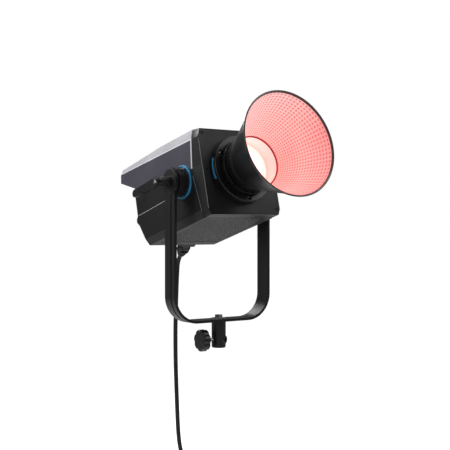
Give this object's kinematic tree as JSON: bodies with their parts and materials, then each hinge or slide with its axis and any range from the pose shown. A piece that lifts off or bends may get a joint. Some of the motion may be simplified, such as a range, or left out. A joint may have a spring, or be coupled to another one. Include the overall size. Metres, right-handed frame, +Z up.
{
  "type": "studio led spotlight",
  "caption": "Boxy studio LED spotlight with a bayonet cone reflector, tilting in a U-shaped yoke on a stand socket, with its mains lead.",
  "frame": {"origin": "centre of the stand socket mouth, where the stand spigot enters", "axes": "+Z up along the socket bore, -Y where the head faces, +X towards the arm without the lock lever; the head looks 15 degrees up at rest"},
  "size_m": [0.2408, 0.4603, 0.8464],
  "materials": {
    "yoke_black": "satin black powder coat",
    "fastener_steel": "zinc plated",
    "roof_silver": "light grey satin paint",
    "wing_violet": "dark violet-grey satin paint",
    "panel_black": "black satin paint",
    "bezel_black": "fine texture",
    "plate_black": "black satin anodised",
    "tray_grey": "fine texture",
    "grille_black": "perforated sheet, satin black",
    "accent_blue": "anodised blue",
    "hub_black": "satin",
    "collar_black": "black anodised",
    "reflector_shell": "gloss black outside, dimpled silver inside",
    "well_white": "white",
    "emitter": "phosphor on a white board",
    "clear_glass": "clear",
    "screen_glass": "tinted",
    "heatsink_alu": "mill finish",
    "pipe_copper": "copper, nickel-free",
    "fan_plastic": "moulded",
    "board_green": "solder mask",
    "control_rubber": "matte",
    "lead_black": "PVC sheath",
    "washer_fibre": "hard fibre"
  },
  "bodies": {
    "yoke": {"yoke_frame": "yoke_black", "stand_socket": "yoke_black", "socket_bolt": "fastener_steel", "pivot_bolts": "fastener_steel", "friction_washers": "washer_fibre", "eye_caps": "yoke_black"},
    "lock_lever": {"lever_hub": "hub_black", "lever_handle": "hub_black", "lever_screw": "fastener_steel"},
    "clamp_knob": {"clamp_knob": "hub_black", "clamp_screw": "fastener_steel"},
    "reflector": {"reflector_bell": "reflector_shell", "reflector_base": "collar_black"},
    "release_latch": {"release_latch": "accent_blue"},
    "fan": {"fan_rotor": "fan_plastic"},
    "dial_left": {"dial_left": "hub_black"},
    "dial_right": {"dial_right": "hub_black"},
    "button_1": {"button_1": "control_rubber"},
    "button_2": {"button_2": "control_rubber"},
    "button_3": {"button_3": "control_rubber"},
    "button_4": {"button_4": "control_rubber"},
    "power_rocker": {"power_rocker": "control_rubber"},
    "lead": {"lead_boot": "lead_black", "mains_lead": "lead_black", "lead_coil": "lead_black", "coil_tie": "lead_black", "mains_plug": "lead_black"},
    "head": {"top_cover": "roof_silver", "side_wing_left": "wing_violet", "side_wing_right": "wing_violet", "side_panel_left": "panel_black", "side_panel_right": "panel_black", "front_bezel": "bezel_black", "front_plate": "plate_black", "face_screws": "fastener_steel", "bottom_tray": "tray_grey", "bottom_grille": "grille_black", "rear_panel": "panel_black", "socket_panel": "panel_black", "tilt_hubs": "hub_black", "hub_rings": "accent_blue", "mount_collar": "collar_black", "light_well": "well_white", "cob_board": "emitter", "cob_glass": "clear_glass", "cob_clamp": "heatsink_alu", "heatsink_base": "heatsink_alu", "heatsink_fins": "heatsink_alu", "heat_pipes": "pipe_copper", "fan_frame": "fan_plastic", "chassis": "heatsink_alu", "power_supply": "board_green", "driver_board": "board_green", "control_board": "board_green", "display_module": "hub_black", "display_window": "screen_glass", "power_inlet": "hub_black", "data_ports": "hub_black", "rocker_housing": "hub_black", "lead_connector": "lead_black"}
  },
  "joints": [
    {"name": "head_tilt", "type": "hinge", "parent": "yoke", "child": "head", "pos_m": [0, 0, 0.293], "axis": [-1, 0, 0], "range_deg": [-90, 50]},
    {"name": "lead_swing", "type": "hinge", "parent": "head", "child": "lead", "pos_m": [0.026, 0.16094, 0.17536], "axis": [-1, 0, 0], "range_deg": [-50, 90]},
    {"name": "tilt_lock", "type": "hinge", "parent": "yoke", "child": "lock_lever", "pos_m": [-0.112, 0, 0.293], "axis": [-1, 0, 0], "range_deg": [-15, 75]},
    {"name": "clamp_turn", "type": "hinge", "parent": "yoke", "child": "clamp_knob", "pos_m": [-0.035, 0, 0.0145], "axis": [-1, 0, 0], "range_deg": [0, 720]},
    {"name": "reflector_twist", "type": "hinge", "parent": "head", "child": "reflector", "pos_m": [0, -0.07198, 0.31415], "axis": [0, -0.9659, 0.2588], "range_deg": [0, 20]},
    {"name": "mount_release", "type": "hinge", "parent": "head", "child": "release_latch", "pos_m": [0, -0.07198, 0.31415], "axis": [0, 0.9659, -0.2588], "range_deg": [0, 6], "stiffness_Nm_per_rad": 0.05, "springref_deg": -5.73},
    {"name": "fan_spin", "type": "hinge", "parent": "head", "child": "fan", "pos_m": [0, 0.04202, 0.28174], "axis": [0, -0.9659, 0.2588], "continuous": true},
    {"name": "power_switch", "type": "hinge", "parent": "head", "child": "power_rocker", "pos_m": [0.058, 0.13962, 0.19712], "axis": [-1, 0, 0], "range_deg": [0, 16]},
    {"name": "dial_left_turn", "type": "hinge", "parent": "head", "child": "dial_left", "pos_m": [-0.051, 0.17782, 0.26502], "axis": [0, 0.9659, -0.2588], "continuous": true},
    {"name": "dial_right_turn", "type": "hinge", "parent": "head", "child": "dial_right", "pos_m": [0.051, 0.17782, 0.26502], "axis": [0, 0.9659, -0.2588], "continuous": true},
    {"name": "button_1_press", "type": "slide", "parent": "head", "child": "button_1", "axis": [0, -0.9659, 0.2588], "range_m": [0, 0.0012], "stiffness_N_per_m": 300, "springref_m": -0.0004},
    {"name": "button_2_press", "type": "slide", "parent": "head", "child": "button_2", "axis": [0, -0.9659, 0.2588], "range_m": [0, 0.0012], "stiffness_N_per_m": 300, "springref_m": -0.0004},
    {"name": "button_3_press", "type": "slide", "parent": "head", "child": "button_3", "axis": [0, -0.9659, 0.2588], "range_m": [0, 0.0012], "stiffness_N_per_m": 300, "springref_m": -0.0004},
    {"name": "button_4_press", "type": "slide", "parent": "head", "child": "button_4", "axis": [0, -0.9659, 0.2588], "range_m": [0, 0.0012], "stiffness_N_per_m": 300, "springref_m": -0.0004}
  ],
  "couplings": [
    {"joint": "lead_swing", "follows": "head_tilt", "ratio": -1}
  ]
}
